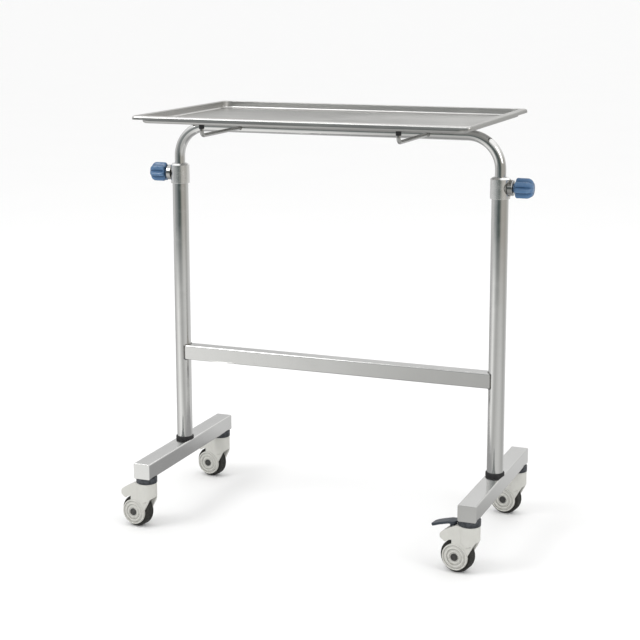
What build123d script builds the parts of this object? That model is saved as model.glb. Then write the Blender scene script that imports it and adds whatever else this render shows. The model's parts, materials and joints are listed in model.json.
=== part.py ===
from build123d import *
import os
from math import cos, pi, sin

# Overbed table on four casters, in millimetres.  +X runs along the table to the right, +Y points
# away from the user, +Z is up.  The origin is on the floor under the middle of the table.
# At rest the tray is at its lowest height, both clamps are tight and every caster trails towards -X.

# Base: two box-tube feet, two round columns and a box-tube crossbar, welded together.
COLUMN_SPACING = 796.0
COLUMN_OD = 38.0
TUBE_WALL = 1.5
COLUMN_TOP = 846.0
FOOT_LENGTH = 460.0
FOOT_WIDTH = 42.0
FOOT_HEIGHT = 38.0
FOOT_BOTTOM = 124.0
FOOT_CORNER = 3.0
END_PLATE = 2.0
END_PLATE_EDGE = 0.8
SOCKET_RADIUS = 12.0
CROSSBAR_BOTTOM = 368.0
CROSSBAR_HEIGHT = 36.0
CROSSBAR_DEPTH = 32.0
BASE_RING_OD = 44.0
BASE_RING_HEIGHT = 8.0
BASE_RING_EDGE = 2.0

# Telescoping U-frame that slides in the columns and carries the tray on two rods.
LEG_OD = 25.0
BEND_RADIUS = 75.0
FRAME_HEIGHT = 943.5          # centre line of the frame's top run
LEG_BELOW_BEND = 420.0
ROD_DIAMETER = 9.0
ROD_X = 232.0
ROD_Y = 218.0
ROD_BEND = 12.0
TIP_CAP_OD = 12.0
TIP_CAP_HEIGHT = 9.0
TIP_CAP_CROWN = 2.0           # rubber over the end of the rod
GLIDE_HEIGHT = 30.0
GLIDE_PLUG = 18.0

# Tray: one pressed sheet with a narrow flange and a rolled-down edge.
TRAY_LENGTH = 794.0
TRAY_DEPTH = 488.0
TRAY_FLANGE = 14.0
TRAY_TOP = 986.0
TRAY_BOTTOM = 968.0
TRAY_EDGE = 9.0
SHEET = 1.2
PAN_CORNER = 22.0
RIM_CORNER = 9.0
PAN_FILLET = 6.0
RIM_FOLD = 6.0
MOUTH_FILLET = 1.1

# Height clamps at the top of the columns.
COLLAR_OD = 45.0
COLLAR_BOTTOM = 804.0
COLLAR_TOP = 852.0
COLLAR_CLEAR = 1.0            # between the collar's mouth and the frame's leg
CLAMP_HEIGHT = 829.0
BUSH_LENGTH = 56.0
BOSS_OD = 36.0
BOSS_REACH = 31.0             # outer face of the boss, from the column's axis
SCREW_RADIUS = 4.0            # M8 screw
PAD_RADIUS = 5.2
PAD_LENGTH = 3.2
KNOB_START = 36.0             # inner and outer ends of the knob, from the column's axis
KNOB_END = 76.0
KNOB_RADIUS = 24.0
KNOB_LOBES = 7
LOBE_RADIUS = 7.6
LOBE_GROOVE = 6.0
KNOB_DOME = 15.0
KNOB_BACK_FILLET = 6.0
KNOB_NECK_RADIUS = 9.0
KNOB_NECK = 4.0
SCREW_IN_KNOB = 22.0          # how deep the screw is moulded into the knob

# Casters: 75 mm wheel in a moulded housing, swivelling on a stem in the foot.
STEM_Y = 205.0
TRAIL = 27.0
HEADING = -8.0                # degrees that every caster is turned about its stem
WHEEL_RADIUS = 37.5
TREAD_WIDTH = 24.0
TREAD_DEPTH = 8.5
WELL_RADIUS = 39.5
WELL_WIDTH = 27.0
HOUSING_WIDTH = 40.0
HOUSING_TOP = 110.0
HOOD_RADIUS = 24.0
HOOD_TAIL = 66.0
HOOD_TAIL_CORNER = 9.0
AXLE_BOSS_RADIUS = 30.0
BOSS_GROOVES = (26.5, 18.5)   # outer radii of the two grooves in each boss
GROOVE_WIDTH = 1.6
GROOVE_DEPTH = 0.8
SEAL_RADIUS = 25.0
SEAL_BORE = 16.0
SEAL_GAP = 0.4
RACE_RADIUS = 15.5
RACE_BOTTOM = 115.0
STEM_RADIUS = 6.0
STEM_TOP = 152.0
STEM_HEAD = 80.0
STEM_HEAD_RADIUS = 9.0
STEM_HEAD_HEIGHT = 3.7
AXLE_RADIUS = 4.0
HUB_CAP_RADIUS = 9.0
HUB_CAP_HEIGHT = 2.0
CORE_BOSS_RADIUS = 14.0
CORE_RIM = 5.0
CORE_DISH = 3.0
CORE_BORE = 6.0
TREAD_FILLET = 4.0
BEARING_RADIUS = 11.0
BEARING_WIDTH = 7.0
BALL_RADIUS = 2.45
BALL_CIRCLE = 11.5
BALL_HEIGHT = 112.5
BALL_COUNT = 12

# Wheel brake: a pedal on a cross pin, whose shoe swings down onto the tread.
PEDAL_PIVOT = (-38.0, 97.0)
PEDAL_REACH = 89.0
PEDAL_START = 28.0
PEDAL_WIDTH = 30.0
PEDAL_CORNER = 11.0
ARM_WIDTH = 16.0
PIN_RADIUS = 2.5
PIN_LENGTH = 34.0

RUNNING = 0.05                # radial clearance of a running fit
CLEAR = 0.3                   # gap between faces that pass each other

COLUMN_X = COLUMN_SPACING / 2
COLUMN_RADIUS = COLUMN_OD / 2
COLUMN_BORE = COLUMN_RADIUS - TUBE_WALL
TUBE_RADIUS = LEG_OD / 2         # of the U-frame
FOOT_TOP = FOOT_BOTTOM + FOOT_HEIGHT
SIDES = {"left": -1, "right": 1}
CASTERS = {
    "front_left": (-COLUMN_X, -STEM_Y, False),
    "front_right": (COLUMN_X, -STEM_Y, True),
    "rear_left": (-COLUMN_X, STEM_Y, True),
    "rear_right": (COLUMN_X, STEM_Y, False),
}


def save(node, *solids):
    """Write one node; several solids make a group in the same file."""
    shape = solids[0] if len(solids) == 1 else Compound(children=list(solids))
    export_step(shape, f"parts/{node}.step")


def round_bar(radius, z_low, z_high, x=0.0, y=0.0):
    return Pos(x, y, (z_low + z_high) / 2) * Cylinder(radius, z_high - z_low)


def ring(outer, inner, z_low, z_high, x=0.0, y=0.0):
    return round_bar(outer, z_low, z_high, x, y) - round_bar(inner, z_low, z_high, x, y)


def bar_along_x(radius, x_low, x_high, z):
    return Pos((x_low + x_high) / 2, 0, z) * Rot(0, 90, 0) * Cylinder(radius, x_high - x_low)


def bar_along_y(radius, y_low, y_high, x, z):
    return Pos(x, (y_low + y_high) / 2, z) * Rot(90, 0, 0) * Cylinder(radius, y_high - y_low)


def side_plate(outline, width):
    """A plate with the given outline in the XZ plane, centred on the XZ plane."""
    edge = Polyline(*[(x, 0, z) for x, z in outline], close=True)
    return extrude(make_face(edge), width / 2, both=True)


# ---------------------------------------------------------------- base

def foot(x):
    middle = Pos(x, 0, FOOT_BOTTOM + FOOT_HEIGHT / 2)
    outer = middle * Box(FOOT_WIDTH, FOOT_LENGTH - 2 * END_PLATE, FOOT_HEIGHT)
    outer = fillet(outer.edges().filter_by(Axis.Y), FOOT_CORNER)
    inner = middle * Box(FOOT_WIDTH - 2 * TUBE_WALL, FOOT_LENGTH, FOOT_HEIGHT - 2 * TUBE_WALL)
    inner = fillet(inner.edges().filter_by(Axis.Y), FOOT_CORNER - TUBE_WALL)
    tube = outer - inner
    for y in (-STEM_Y, STEM_Y):
        tube -= round_bar(STEM_RADIUS, FOOT_BOTTOM - 1, FOOT_BOTTOM + TUBE_WALL + 1, x, y)
    return tube


def end_plate(x, end):
    y = end * (FOOT_LENGTH - END_PLATE) / 2
    plate = Pos(x, y, FOOT_BOTTOM + FOOT_HEIGHT / 2) * Box(FOOT_WIDTH, END_PLATE, FOOT_HEIGHT)
    plate = fillet(plate.edges().filter_by(Axis.Y), FOOT_CORNER)
    outer_edges = plate.faces().sort_by(Axis.Y)[-1 if end > 0 else 0].edges()
    return fillet(outer_edges, END_PLATE_EDGE)


def stem_socket(x, y):
    """Threaded insert inside the foot that takes a caster stem."""
    return ring(SOCKET_RADIUS, STEM_RADIUS, FOOT_BOTTOM + TUBE_WALL, STEM_TOP - 1, x, y)


def column(x, side):
    tube = ring(COLUMN_RADIUS, COLUMN_BORE, FOOT_TOP, COLUMN_TOP, x)
    return tube - clamp_hole(x, side)


def crossbar():
    top = CROSSBAR_BOTTOM + CROSSBAR_HEIGHT
    middle = Pos(0, 0, (CROSSBAR_BOTTOM + top) / 2)
    outer = middle * Box(COLUMN_SPACING, CROSSBAR_DEPTH, CROSSBAR_HEIGHT)
    outer = fillet(outer.edges().filter_by(Axis.X), FOOT_CORNER)
    bore_depth = CROSSBAR_DEPTH - 2 * TUBE_WALL
    bore_height = CROSSBAR_HEIGHT - 2 * TUBE_WALL
    tube = outer - middle * Box(COLUMN_SPACING + 2, bore_depth, bore_height)
    for side in SIDES.values():
        tube -= round_bar(COLUMN_RADIUS, CROSSBAR_BOTTOM - 1, top + 1, side * COLUMN_X)
    return tube


def base_ring(x):
    """Rubber ring that hides the weld at the foot of a column."""
    body = round_bar(BASE_RING_OD / 2, FOOT_TOP, FOOT_TOP + BASE_RING_HEIGHT, x)
    body = fillet(body.edges().group_by(Axis.Z)[-1], BASE_RING_EDGE)
    return body - round_bar(COLUMN_RADIUS, FOOT_TOP, FOOT_TOP + BASE_RING_HEIGHT, x)


# ---------------------------------------------------------------- height clamps

def clamp_hole(x, side):
    """Radial hole for the clamp pad through collar, column and bush."""
    reach = side * (COLLAR_OD / 2 + 2)
    return bar_along_x(PAD_RADIUS + CLEAR, min(x, x + reach), max(x, x + reach), CLAMP_HEIGHT)


def collar(x, side):
    body = round_bar(COLLAR_OD / 2, COLLAR_BOTTOM, COLLAR_TOP, x)
    body = chamfer(body.edges().group_by(Axis.Z)[-1], 4.0, 5.0)
    body = fillet(body.edges().group_by(Axis.Z)[0], 0.8)
    body -= round_bar(COLUMN_RADIUS, COLLAR_BOTTOM - 1, COLUMN_TOP, x)
    body -= round_bar(TUBE_RADIUS + COLLAR_CLEAR, COLUMN_TOP - 1, COLLAR_TOP + 1, x)
    return body - clamp_hole(x, side)


def clamp_boss(x, side):
    """Threaded boss welded to the side of the collar."""
    near = x + side * (COLUMN_RADIUS + 1)
    far = x + side * BOSS_REACH
    body = bar_along_x(BOSS_OD / 2, min(near, far), max(near, far), CLAMP_HEIGHT)
    outer_face = body.faces().sort_by(Axis.X)[-1 if side > 0 else 0]
    body = fillet(outer_face.edges(), 2.0)
    body -= round_bar(COLLAR_OD / 2, COLLAR_BOTTOM, COLLAR_TOP, x)
    return body - bar_along_x(SCREW_RADIUS + RUNNING, min(x, far) - 1, max(x, far) + 1, CLAMP_HEIGHT)


def guide_bush(x, side):
    """Plastic bush inside the column's mouth, which guides the frame's leg."""
    body = ring(COLUMN_BORE, TUBE_RADIUS + RUNNING, COLUMN_TOP - BUSH_LENGTH, COLUMN_TOP, x)
    return body - clamp_hole(x, side)


def clamp_pad(x, side):
    """Pad that presses on the leg without turning."""
    near = x + side * (TUBE_RADIUS + CLEAR)
    far = near + side * PAD_LENGTH
    return bar_along_x(PAD_RADIUS, min(near, far), max(near, far), CLAMP_HEIGHT)


def clamp_screw(x, side):
    near = x + side * (TUBE_RADIUS + CLEAR + PAD_LENGTH)
    far = x + side * (KNOB_START + SCREW_IN_KNOB)
    return bar_along_x(SCREW_RADIUS, min(near, far), max(near, far), CLAMP_HEIGHT)


def knob(x, side):
    """Lobed hand knob with a domed outer end and a short neck."""
    length = KNOB_END - KNOB_START
    lobe_circle = KNOB_RADIUS - LOBE_RADIUS
    profile = Circle(KNOB_RADIUS - LOBE_GROOVE)
    for turn in range(KNOB_LOBES):
        angle = 2 * pi * turn / KNOB_LOBES
        profile += Pos(lobe_circle * cos(angle), lobe_circle * sin(angle)) * Circle(LOBE_RADIUS)
    body = extrude(profile, length)
    blank = Pos(0, 0, length / 2) * Cylinder(KNOB_RADIUS, length)
    blank = fillet(blank.edges().group_by(Axis.Z)[-1], KNOB_DOME)
    blank = fillet(blank.edges().group_by(Axis.Z)[0], KNOB_BACK_FILLET)
    body = (body & blank) + round_bar(KNOB_NECK_RADIUS, -KNOB_NECK, 1.0)
    body -= round_bar(SCREW_RADIUS, -KNOB_NECK - 1, SCREW_IN_KNOB)
    return Pos(x + side * KNOB_START, 0, CLAMP_HEIGHT) * Rot(0, side * 90, 0) * body


# ---------------------------------------------------------------- sliding frame and tray

def u_frame():
    straight = COLUMN_X - BEND_RADIUS
    bend_start = FRAME_HEIGHT - BEND_RADIUS
    leg_end = bend_start - LEG_BELOW_BEND
    corner = BEND_RADIUS * (1 - cos(pi / 4))
    path = Line((-COLUMN_X, 0, leg_end), (-COLUMN_X, 0, bend_start))
    path += ThreePointArc(
        (-COLUMN_X, 0, bend_start),
        (-COLUMN_X + corner, 0, FRAME_HEIGHT - corner),
        (-straight, 0, FRAME_HEIGHT),
    )
    path += Line((-straight, 0, FRAME_HEIGHT), (straight, 0, FRAME_HEIGHT))
    path += ThreePointArc(
        (straight, 0, FRAME_HEIGHT),
        (COLUMN_X - corner, 0, FRAME_HEIGHT - corner),
        (COLUMN_X, 0, bend_start),
    )
    path += Line((COLUMN_X, 0, bend_start), (COLUMN_X, 0, leg_end))
    start = Plane(origin=(-COLUMN_X, 0, leg_end), z_dir=(0, 0, 1))
    section = start * (Circle(TUBE_RADIUS) - Circle(TUBE_RADIUS - TUBE_WALL))
    tube = sweep(section, path=path)
    for x in (-ROD_X, ROD_X):
        tube -= bar_along_y(ROD_DIAMETER / 2, -LEG_OD, LEG_OD, x, FRAME_HEIGHT)
    return tube


def support_rod(x):
    """Rod welded through the frame's top run, its ends turned up under the tray."""
    top = TRAY_BOTTOM - TIP_CAP_CROWN
    points = [(x, -ROD_Y, top), (x, -ROD_Y, FRAME_HEIGHT), (x, ROD_Y, FRAME_HEIGHT), (x, ROD_Y, top)]
    path = FilletPolyline(*points, radius=ROD_BEND)
    section = Plane(origin=points[0], z_dir=(0, 0, -1)) * Circle(ROD_DIAMETER / 2)
    return sweep(section, path=path)


def tip_cap(x, y):
    """Rubber cap on a rod's turned-up end, on which the tray rests."""
    bottom = TRAY_BOTTOM - TIP_CAP_HEIGHT
    cap = round_bar(TIP_CAP_OD / 2, bottom, TRAY_BOTTOM, x, y)
    cap = fillet(cap.edges().group_by(Axis.Z)[-1], TIP_CAP_CROWN / 2)
    return cap - round_bar(ROD_DIAMETER / 2, bottom - 1, TRAY_BOTTOM - TIP_CAP_CROWN, x, y)


def leg_glide(x):
    """Plastic plug in the end of a leg, running in the column's bore."""
    leg_end = FRAME_HEIGHT - BEND_RADIUS - LEG_BELOW_BEND
    foot_part = round_bar(COLUMN_BORE - RUNNING, leg_end - GLIDE_HEIGHT, leg_end, x)
    foot_part = chamfer(foot_part.edges(), 1.5)
    return foot_part + round_bar(TUBE_RADIUS - TUBE_WALL, leg_end, leg_end + GLIDE_PLUG, x)


def rounded_slab(length, depth, corner, z_low, z_high):
    slab = Pos(0, 0, (z_low + z_high) / 2) * Box(length, depth, z_high - z_low)
    return fillet(slab.edges().filter_by(Axis.Z), corner)


def tray():
    pan_length = TRAY_LENGTH - 2 * TRAY_FLANGE
    pan_depth = TRAY_DEPTH - 2 * TRAY_FLANGE
    edge_bottom = TRAY_TOP - TRAY_EDGE
    rim = rounded_slab(TRAY_LENGTH, TRAY_DEPTH, RIM_CORNER, edge_bottom, TRAY_TOP)
    rim = fillet(rim.edges().group_by(Axis.Z)[-1], RIM_FOLD)
    inner_length = TRAY_LENGTH - 2 * SHEET
    inner_depth = TRAY_DEPTH - 2 * SHEET
    under_rim = rounded_slab(
        inner_length, inner_depth, RIM_CORNER - SHEET, edge_bottom - 1, TRAY_TOP - SHEET
    )
    under_rim = fillet(under_rim.edges().group_by(Axis.Z)[-1], RIM_FOLD - SHEET)
    pan = rounded_slab(pan_length, pan_depth, PAN_CORNER, TRAY_BOTTOM, TRAY_TOP)
    pan = fillet(pan.edges().group_by(Axis.Z)[0], PAN_FILLET)
    hollow_length = pan_length - 2 * SHEET
    hollow_depth = pan_depth - 2 * SHEET
    hollow = rounded_slab(
        hollow_length, hollow_depth, PAN_CORNER - SHEET, TRAY_BOTTOM + SHEET, TRAY_TOP + 8
    )
    hollow = fillet(hollow.edges().group_by(Axis.Z)[0], PAN_FILLET - SHEET)
    body = (rim - under_rim) + pan - hollow
    mouth = body.faces().filter_by(Axis.Z).sort_by(Axis.Z)[-1].inner_wires()[0]
    return fillet(mouth.edges(), MOUTH_FILLET)


# ---------------------------------------------------------------- casters
# Each caster is drawn with its stem on the Z axis and its wheel trailing towards -X.

def stem():
    head_top = STEM_HEAD + STEM_HEAD_HEIGHT
    return round_bar(STEM_RADIUS, head_top, STEM_TOP) + round_bar(STEM_HEAD_RADIUS, STEM_HEAD, head_top)


def seal_ring():
    """Black ring between foot and housing, which covers the swivel bearing."""
    body = round_bar(SEAL_RADIUS, HOUSING_TOP + SEAL_GAP, FOOT_BOTTOM)
    body = fillet(body.edges().group_by(Axis.Z)[0], 1.5)
    return body - round_bar(SEAL_BORE, HOUSING_TOP, FOOT_BOTTOM)


def swivel_race():
    return ring(RACE_RADIUS, STEM_RADIUS, RACE_BOTTOM, FOOT_BOTTOM)


def swivel_balls():
    balls = []
    for turn in range(BALL_COUNT):
        angle = 2 * pi * turn / BALL_COUNT
        place = Pos(BALL_CIRCLE * cos(angle), BALL_CIRCLE * sin(angle), BALL_HEIGHT)
        balls.append(place * Sphere(BALL_RADIUS))
    return balls


def housing(braked):
    """Moulded hood with two legs that end in round bosses at the axle."""
    hood_side = [
        (HOOD_RADIUS, HOUSING_TOP), (HOOD_RADIUS, 77), (8, 66), (-TRAIL, 60), (-47, 67),
        (-58, 74), (-HOOD_TAIL, 79), (-HOOD_TAIL, 83), (-59, 91), (-42, 102), (-HOOD_RADIUS, HOUSING_TOP),
    ]
    tail = Pos(-HOOD_TAIL / 2, 0) * RectangleRounded(HOOD_TAIL, HOUSING_WIDTH, HOOD_TAIL_CORNER)
    plan = Circle(HOOD_RADIUS) + tail
    hood = side_plate(hood_side, 2 * HOOD_RADIUS + 2) & extrude(plan, HOUSING_TOP + 5)
    hood -= bar_along_y(WELL_RADIUS, -HOUSING_WIDTH, HOUSING_WIDTH, -TRAIL, WHEEL_RADIUS)
    leg_front = HOOD_RADIUS - 2
    leg_side = [
        (leg_front, 79), (2.5, 43), (-TRAIL, WHEEL_RADIUS), (-34.5, 66), (-34.5, 80), (leg_front, 80),
    ]
    legs = side_plate(leg_side, HOUSING_WIDTH)
    legs += bar_along_y(AXLE_BOSS_RADIUS, -HOUSING_WIDTH / 2, HOUSING_WIDTH / 2, -TRAIL, WHEEL_RADIUS)
    legs &= extrude(plan, HOUSING_TOP)
    legs -= bar_along_y(WELL_RADIUS + 20, -WELL_WIDTH / 2, WELL_WIDTH / 2, -TRAIL, WHEEL_RADIUS)
    body = hood + legs
    for side in SIDES.values():
        face_y = side * HOUSING_WIDTH / 2
        low, high = face_y - GROOVE_DEPTH, face_y + GROOVE_DEPTH
        for groove in BOSS_GROOVES:
            cutter = bar_along_y(groove, low, high, -TRAIL, WHEEL_RADIUS)
            cutter -= bar_along_y(groove - GROOVE_WIDTH, low - 1, high + 1, -TRAIL, WHEEL_RADIUS)
            body -= cutter
    body -= bar_along_y(AXLE_RADIUS, -HOUSING_WIDTH, HOUSING_WIDTH, -TRAIL, WHEEL_RADIUS)
    body -= round_bar(STEM_RADIUS + RUNNING, STEM_HEAD - 10, HOUSING_TOP + 1)
    head_top = STEM_HEAD + STEM_HEAD_HEIGHT
    body -= round_bar(STEM_HEAD_RADIUS + CLEAR, STEM_HEAD - 10, head_top + CLEAR)
    if braked:
        body -= Pos(-45, 0, 90) * Box(30, ARM_WIDTH + 2 * CLEAR, 60)
        body -= brake_pin()
    return body


def axle():
    return bar_along_y(AXLE_RADIUS, -HOUSING_WIDTH / 2, HOUSING_WIDTH / 2, -TRAIL, WHEEL_RADIUS)


def hub_cap(side):
    cap = Cylinder(HUB_CAP_RADIUS, HUB_CAP_HEIGHT)
    cap = fillet(cap.edges().group_by(Axis.Z)[-1], 0.6 * HUB_CAP_HEIGHT)
    y = side * (HOUSING_WIDTH + HUB_CAP_HEIGHT) / 2
    return Pos(-TRAIL, y, WHEEL_RADIUS) * Rot(-side * 90, 0, 0) * cap


def wheel_core():
    rim = WHEEL_RADIUS - TREAD_DEPTH
    half = TREAD_WIDTH / 2 - 1
    body = bar_along_y(rim, -half, half, -TRAIL, WHEEL_RADIUS)
    for side in SIDES.values():
        face = side * half
        dish = bar_along_y(rim - CORE_RIM, face - CORE_DISH, face + CORE_DISH, -TRAIL, WHEEL_RADIUS)
        body -= dish - bar_along_y(CORE_BOSS_RADIUS, -half, half, -TRAIL, WHEEL_RADIUS)
        low, high = sorted((side * (half - BEARING_WIDTH), side * (half + 1)))
        body -= bar_along_y(BEARING_RADIUS, low, high, -TRAIL, WHEEL_RADIUS)
    return body - bar_along_y(CORE_BORE, -TREAD_WIDTH, TREAD_WIDTH, -TRAIL, WHEEL_RADIUS)


def tread():
    body = bar_along_y(WHEEL_RADIUS, -TREAD_WIDTH / 2, TREAD_WIDTH / 2, -TRAIL, WHEEL_RADIUS)
    body = fillet(body.edges().filter_by(GeomType.CIRCLE), TREAD_FILLET)
    return body - bar_along_y(WHEEL_RADIUS - TREAD_DEPTH, -TREAD_WIDTH, TREAD_WIDTH, -TRAIL, WHEEL_RADIUS)


def wheel_bearings():
    half = TREAD_WIDTH / 2 - 1
    bearings = []
    for side in SIDES.values():
        low, high = sorted((side * half, side * (half - BEARING_WIDTH)))
        body = bar_along_y(BEARING_RADIUS, low, high, -TRAIL, WHEEL_RADIUS)
        bearings.append(body - bar_along_y(AXLE_RADIUS + RUNNING, low, high, -TRAIL, WHEEL_RADIUS))
    return bearings


def brake_pedal():
    pivot_x, pivot_z = PEDAL_PIVOT
    plate_side = [
        (-PEDAL_START, 111.5), (-46, 109.5), (-66, 104), (-84, 97.5), (-PEDAL_REACH, 99),
        (-PEDAL_REACH + 2, 103), (-66, 110), (-46, 115.5), (-PEDAL_START, 117),
    ]
    outline = RectangleRounded(PEDAL_REACH - PEDAL_START, PEDAL_WIDTH, PEDAL_CORNER)
    outline = Pos(-(PEDAL_START + PEDAL_REACH) / 2, 0) * outline
    plate = side_plate(plate_side, PEDAL_WIDTH) & extrude(outline, 200)
    arm_side = [
        (-33.5, 113), (-33.5, 95), (-40.5, 77.5), (-47.5, 74.5), (-51, 79), (-43.5, 96), (-43.5, 113),
    ]
    arm = side_plate(arm_side, ARM_WIDTH)
    return plate + arm - bar_along_y(PIN_RADIUS + RUNNING, -PEDAL_WIDTH, PEDAL_WIDTH, pivot_x, pivot_z)


def brake_pin():
    pivot_x, pivot_z = PEDAL_PIVOT
    return bar_along_y(PIN_RADIUS, -PIN_LENGTH / 2, PIN_LENGTH / 2, pivot_x, pivot_z)


def build_base():
    save("foot_end_plates", *[end_plate(s * COLUMN_X, e) for s in SIDES.values() for e in SIDES.values()])
    save("column_base_rings", *[base_ring(s * COLUMN_X) for s in SIDES.values()])
    save("crossbar", crossbar())
    for name, side in SIDES.items():
        x = side * COLUMN_X
        save(f"{name}_foot", foot(x))
        save(f"{name}_column", column(x, side))
        save(f"{name}_collar", collar(x, side))
        save(f"{name}_guide_bush", guide_bush(x, side))
        save(f"{name}_clamp_boss", clamp_boss(x, side))
        save(f"{name}_clamp_pad", clamp_pad(x, side))
        save(f"{name}_clamp_screw", clamp_screw(x, side))
        save(f"{name}_knob", knob(x, side))


def build_frame_and_tray():
    save("u_frame", u_frame())
    save("leg_glides", *[leg_glide(s * COLUMN_X) for s in SIDES.values()])
    for name, side in SIDES.items():
        save(f"{name}_support_rod", support_rod(side * ROD_X))
    save("rod_tip_caps", *[tip_cap(s * ROD_X, e * ROD_Y) for s in SIDES.values() for e in SIDES.values()])
    save("tray", tray())


def build_casters():
    places = {name: Pos(x, y, 0) * Rot(0, 0, HEADING) for name, (x, y, _) in CASTERS.items()}
    save("stem_sockets", *[stem_socket(x, y) for x, y, _ in CASTERS.values()])
    save("caster_stems", *[place * stem() for place in places.values()])
    save("caster_seal_rings", *[place * seal_ring() for place in places.values()])
    save("swivel_races", *[place * swivel_race() for place in places.values()])
    save("swivel_balls", *[place * ball for place in places.values() for ball in swivel_balls()])
    for name, (_, _, braked) in CASTERS.items():
        place = places[name]
        save(f"{name}_housing", place * housing(braked))
        save(f"{name}_axle", place * axle())
        save(f"{name}_hub_caps", *[place * hub_cap(side) for side in SIDES.values()])
        save(f"{name}_wheel_core", place * wheel_core())
        save(f"{name}_tread", place * tread())
        save(f"{name}_wheel_bearings", *[place * bearing for bearing in wheel_bearings()])
        if braked:
            save(f"{name}_brake_pedal", place * brake_pedal())
            save(f"{name}_brake_pin", place * brake_pin())


os.makedirs("parts", exist_ok=True)
build_base()
build_frame_and_tray()
build_casters()
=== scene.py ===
import json
import math

import bmesh
import bpy
from mathutils import Matrix, Vector


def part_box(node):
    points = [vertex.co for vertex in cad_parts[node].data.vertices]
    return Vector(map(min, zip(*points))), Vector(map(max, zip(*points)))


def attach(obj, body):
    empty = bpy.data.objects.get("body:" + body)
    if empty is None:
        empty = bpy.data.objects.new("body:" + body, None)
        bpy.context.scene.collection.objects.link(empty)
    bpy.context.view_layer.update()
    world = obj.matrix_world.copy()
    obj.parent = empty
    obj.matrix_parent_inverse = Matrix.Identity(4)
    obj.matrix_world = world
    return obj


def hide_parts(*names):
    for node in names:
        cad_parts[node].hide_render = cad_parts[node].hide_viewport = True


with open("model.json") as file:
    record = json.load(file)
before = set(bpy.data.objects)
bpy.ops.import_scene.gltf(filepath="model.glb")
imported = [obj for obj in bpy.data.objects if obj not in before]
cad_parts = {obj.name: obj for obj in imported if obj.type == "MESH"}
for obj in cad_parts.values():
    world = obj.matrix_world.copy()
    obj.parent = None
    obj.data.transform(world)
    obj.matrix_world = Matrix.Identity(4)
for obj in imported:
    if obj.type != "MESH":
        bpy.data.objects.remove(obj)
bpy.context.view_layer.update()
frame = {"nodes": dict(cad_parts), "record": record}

# Overbed table on four casters, in metres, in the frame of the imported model: +X runs along the table
# to the right, +Y points away from the user, +Z is up, and the floor is at z = 0.

MM = 0.001
SIDES = {"left": -1, "right": 1}
CASTERS = ("front_left", "front_right", "rear_left", "rear_right")
BRAKED = ("front_right", "rear_left")

joints = {j["name"]: j for j in frame["record"]["behaviour"]["joints"]}
body_of = {node: body for body, nodes in frame["record"]["behaviour"]["bodies"].items() for node in nodes}


# ---------------------------------------------------------------- camera

CAMERA_PLACE = (1.2686, -3.2856, 1.2734)
CAMERA_YAW = 22.4             # degrees that the camera turns from +Y towards -X
CAMERA_PITCH = 10.2           # degrees that it looks down
CAMERA_ROLL = 0.25            # degrees that it leans
SENSOR_WIDTH = 36.0           # mm
FOCAL_LENGTH = 85.76          # mm
SHIFT_X = 0.0315
SHIFT_Y = -0.094
CLIP_START = 0.1
CLIP_END = 1000.0


def make_camera():
    data = bpy.data.cameras.new("camera")
    data.sensor_width = SENSOR_WIDTH
    data.lens = FOCAL_LENGTH
    data.shift_x = SHIFT_X
    data.shift_y = SHIFT_Y
    data.clip_start = CLIP_START
    data.clip_end = CLIP_END
    camera = bpy.data.objects.new("camera", data)
    bpy.context.collection.objects.link(camera)
    camera.location = CAMERA_PLACE
    turn = Matrix.Rotation(math.radians(CAMERA_YAW), 4, "Z")
    tilt = Matrix.Rotation(math.radians(90.0 - CAMERA_PITCH), 4, "X")
    roll = Matrix.Rotation(math.radians(-CAMERA_ROLL), 4, "Z")
    camera.rotation_euler = (turn @ tilt @ roll).to_euler()
    bpy.context.scene.camera = camera


# ---------------------------------------------------------------- materials

def add_node(tree, kind, inputs=None, **settings):
    """Adds a node with its settings. Each input is a value, or the output that is linked to it."""
    made = tree.nodes.new(kind)
    for setting, value in settings.items():
        setattr(made, setting, value)
    for socket, value in (inputs or {}).items():
        if isinstance(value, bpy.types.NodeSocket):
            tree.links.new(value, made.inputs[socket])
        else:
            made.inputs[socket].default_value = value
    return made


def mix_colours(tree, factor, a, b):
    """Mixes two colours; each is an (r, g, b) value or an output."""
    inputs = {0: factor}
    for index, colour in ((6, a), (7, b)):
        inputs[index] = colour if isinstance(colour, bpy.types.NodeSocket) else (*colour, 1.0)
    return add_node(tree, "ShaderNodeMix", inputs, data_type="RGBA").outputs[2]


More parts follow.
